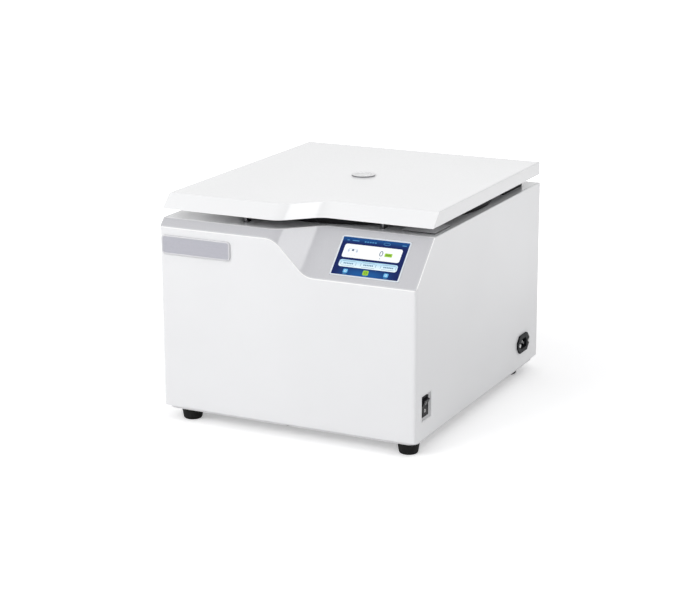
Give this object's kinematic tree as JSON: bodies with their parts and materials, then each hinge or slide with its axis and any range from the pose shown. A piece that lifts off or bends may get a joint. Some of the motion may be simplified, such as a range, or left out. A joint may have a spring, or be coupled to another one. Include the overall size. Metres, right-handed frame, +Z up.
{
  "type": "microplate centrifuge",
  "caption": "Bench centrifuge for microplates: white cabinet with a leaning control panel and touch screen, hinged lid, swing-out rotor in a steel chamber.",
  "frame": {"origin": "on the surface the feet stand on, under the middle of the cabinet", "axes": "+Z up, the front with the screen faces -Y, the switch and inlet are on the +X side"},
  "size_m": [0.4346, 0.5048, 0.3583],
  "materials": {
    "white_paint": "fine satin powder coat",
    "bezel_grey": "fine matte moulding",
    "base_paint": "satin paint",
    "inner_steel": "zinc plated",
    "stainless": "brushed",
    "armour_steel": "primed steel",
    "black_rubber": "matte",
    "black_plastic": "fine matte",
    "screen_glass": "polished",
    "clear_window": "polished",
    "collar_grey": "satin",
    "plate_silver": "fine brushed",
    "cast_aluminium": "cast and machined",
    "bucket_aluminium": "anodised",
    "board_green": "solder mask",
    "supply_case": "satin"
  },
  "bodies": {
    "cabinet": {"outer_cover": "white_paint", "rear_panel": "white_paint", "top_deck": "white_paint", "control_bezel": "bezel_grey", "corner_plate": "white_paint", "base_plate": "base_paint", "feet": "black_rubber", "base_screws": "inner_steel", "rear_screws": "inner_steel", "display_glass": "screen_glass", "display_module": "board_green", "name_plate": "plate_silver", "switch_recess": "white_paint", "switch_housing": "black_plastic", "power_inlet": "black_plastic", "inlet_pins": "inner_steel", "inlet_screws": "inner_steel", "chamber_bowl": "stainless", "chamber_seal": "black_rubber", "guard_ring": "armour_steel", "guard_legs": "inner_steel", "motor_pillars": "inner_steel", "motor_dampers": "black_rubber", "motor_plate": "cast_aluminium", "motor_case": "cast_aluminium", "motor_top_cap": "cast_aluminium", "motor_bottom_cap": "cast_aluminium", "motor_stator": "inner_steel", "bearing_outer_races": "inner_steel", "shaft_boot": "black_rubber", "lock_frames": "inner_steel", "lock_solenoids": "black_plastic", "hinge_bases": "inner_steel", "hinge_pins": "inner_steel", "hinge_base_screws": "inner_steel", "fan_frame": "black_plastic", "board_bracket": "inner_steel", "main_board": "board_green", "motor_drive": "cast_aluminium", "power_supply": "supply_case", "inner_wires": "black_rubber"},
    "lid": {"lid_shell": "white_paint", "lid_liner": "stainless", "sight_collar": "collar_grey", "sight_window": "clear_window", "lid_hooks": "inner_steel", "hinge_leaves": "inner_steel", "hinge_leaf_screws": "inner_steel"},
    "rotor": {"motor_shaft": "inner_steel", "motor_rotor_core": "inner_steel", "bearing_inner_sets": "inner_steel", "rotor_yoke": "cast_aluminium", "trunnion_pins": "inner_steel", "rotor_nut": "inner_steel"},
    "left_bucket": {"bucket_left": "bucket_aluminium"},
    "right_bucket": {"bucket_right": "bucket_aluminium"},
    "rocker": {"switch_rocker": "black_plastic"},
    "fan": {"fan_wheel": "black_plastic"},
    "left_bolt": {"lock_bolt_left": "inner_steel"},
    "right_bolt": {"lock_bolt_right": "inner_steel"}
  },
  "joints": [
    {"name": "lid_hinge", "type": "hinge", "parent": "cabinet", "child": "lid", "pos_m": [0, 0.2405, 0.3283], "axis": [-1, 0, 0], "range_deg": [0, 75]},
    {"name": "rotor_spin", "type": "hinge", "parent": "cabinet", "child": "rotor", "pos_m": [0, 0.03, 0.2738], "axis": [0, 0, 1], "continuous": true},
    {"name": "left_bucket_swing", "type": "hinge", "parent": "rotor", "child": "left_bucket", "pos_m": [-0.085, 0.03, 0.2738], "axis": [0, 1, 0], "range_deg": [0, 90]},
    {"name": "right_bucket_swing", "type": "hinge", "parent": "rotor", "child": "right_bucket", "pos_m": [0.085, 0.03, 0.2738], "axis": [0, -1, 0], "range_deg": [0, 90]},
    {"name": "power_rocker", "type": "hinge", "parent": "cabinet", "child": "rocker", "pos_m": [0.208, -0.2105, 0.0698], "axis": [0, -1, 0], "range_deg": [0, 18]},
    {"name": "fan_spin", "type": "hinge", "parent": "cabinet", "child": "fan", "pos_m": [-0.12, 0.2365, 0.0928], "axis": [0, 1, 0], "continuous": true},
    {"name": "left_lock_slide", "type": "slide", "parent": "cabinet", "child": "left_bolt", "axis": [-1, 0, 0], "range_m": [0, 0.01], "stiffness_N_per_m": 200},
    {"name": "right_lock_slide", "type": "slide", "parent": "cabinet", "child": "right_bolt", "axis": [-1, 0, 0], "range_m": [0, 0.01], "stiffness_N_per_m": 200}
  ],
  "couplings": [
    {"joint": "right_lock_slide", "follows": "left_lock_slide", "ratio": 1}
  ]
}
